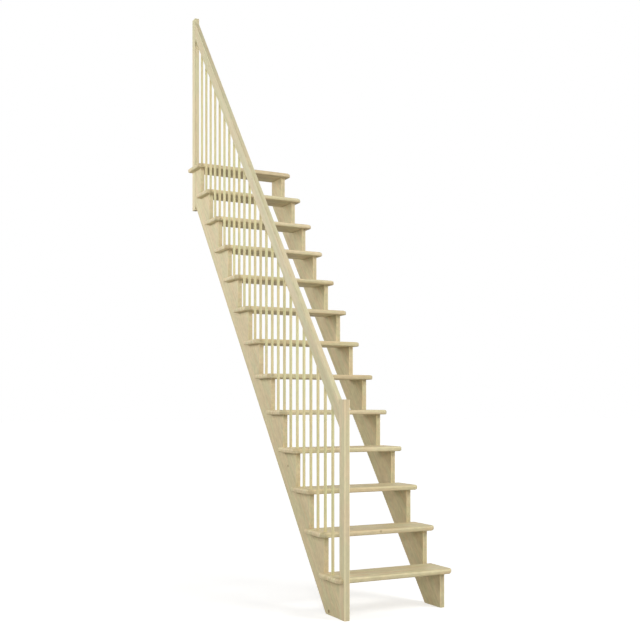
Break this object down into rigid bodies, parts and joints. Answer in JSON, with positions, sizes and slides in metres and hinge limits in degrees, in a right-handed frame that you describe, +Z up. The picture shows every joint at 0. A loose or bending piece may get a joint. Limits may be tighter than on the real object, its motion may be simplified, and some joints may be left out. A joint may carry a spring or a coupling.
{
  "type": "space-saving staircase",
  "caption": "Steep straight wooden staircase with open treads on two saw-tooth side boards and a one-sided railing of round rods under a sloping handrail.",
  "frame": {"origin": "on the flat back face of the top post, in the middle of its width, level with the top of the top tread", "axes": "+Z up, +Y forward in the climbing direction towards the upper floor, +X to the right as one climbs; the railing is on the -X side"},
  "size_m": [0.7, 2.215, 3.7689],
  "materials": {
    "stringer_wood": "untreated, planed",
    "tread_wood": "untreated, planed",
    "post_wood": "untreated, planed",
    "rod_wood": "untreated, turned"
  },
  "bodies": {
    "root": {"left_stringer": "stringer_wood", "right_stringer": "stringer_wood", "tread_01": "tread_wood", "tread_02": "tread_wood", "tread_03": "tread_wood", "tread_04": "tread_wood", "tread_05": "tread_wood", "tread_06": "tread_wood", "tread_07": "tread_wood", "tread_08": "tread_wood", "tread_09": "tread_wood", "tread_10": "tread_wood", "tread_11": "tread_wood", "tread_12": "tread_wood", "tread_13": "tread_wood", "newel_post": "post_wood", "top_post": "post_wood", "handrail": "post_wood", "rod_01": "rod_wood", "rod_02": "rod_wood", "rod_03": "rod_wood", "rod_04": "rod_wood", "rod_05": "rod_wood", "rod_06": "rod_wood", "rod_07": "rod_wood", "rod_08": "rod_wood", "rod_09": "rod_wood", "rod_10": "rod_wood", "rod_11": "rod_wood", "rod_12": "rod_wood", "rod_13": "rod_wood", "rod_14": "rod_wood", "rod_15": "rod_wood", "rod_16": "rod_wood", "rod_17": "rod_wood", "rod_18": "rod_wood", "rod_19": "rod_wood", "rod_20": "rod_wood", "rod_21": "rod_wood", "rod_22": "rod_wood", "rod_23": "rod_wood", "rod_24": "rod_wood"}
  },
  "joints": []
}
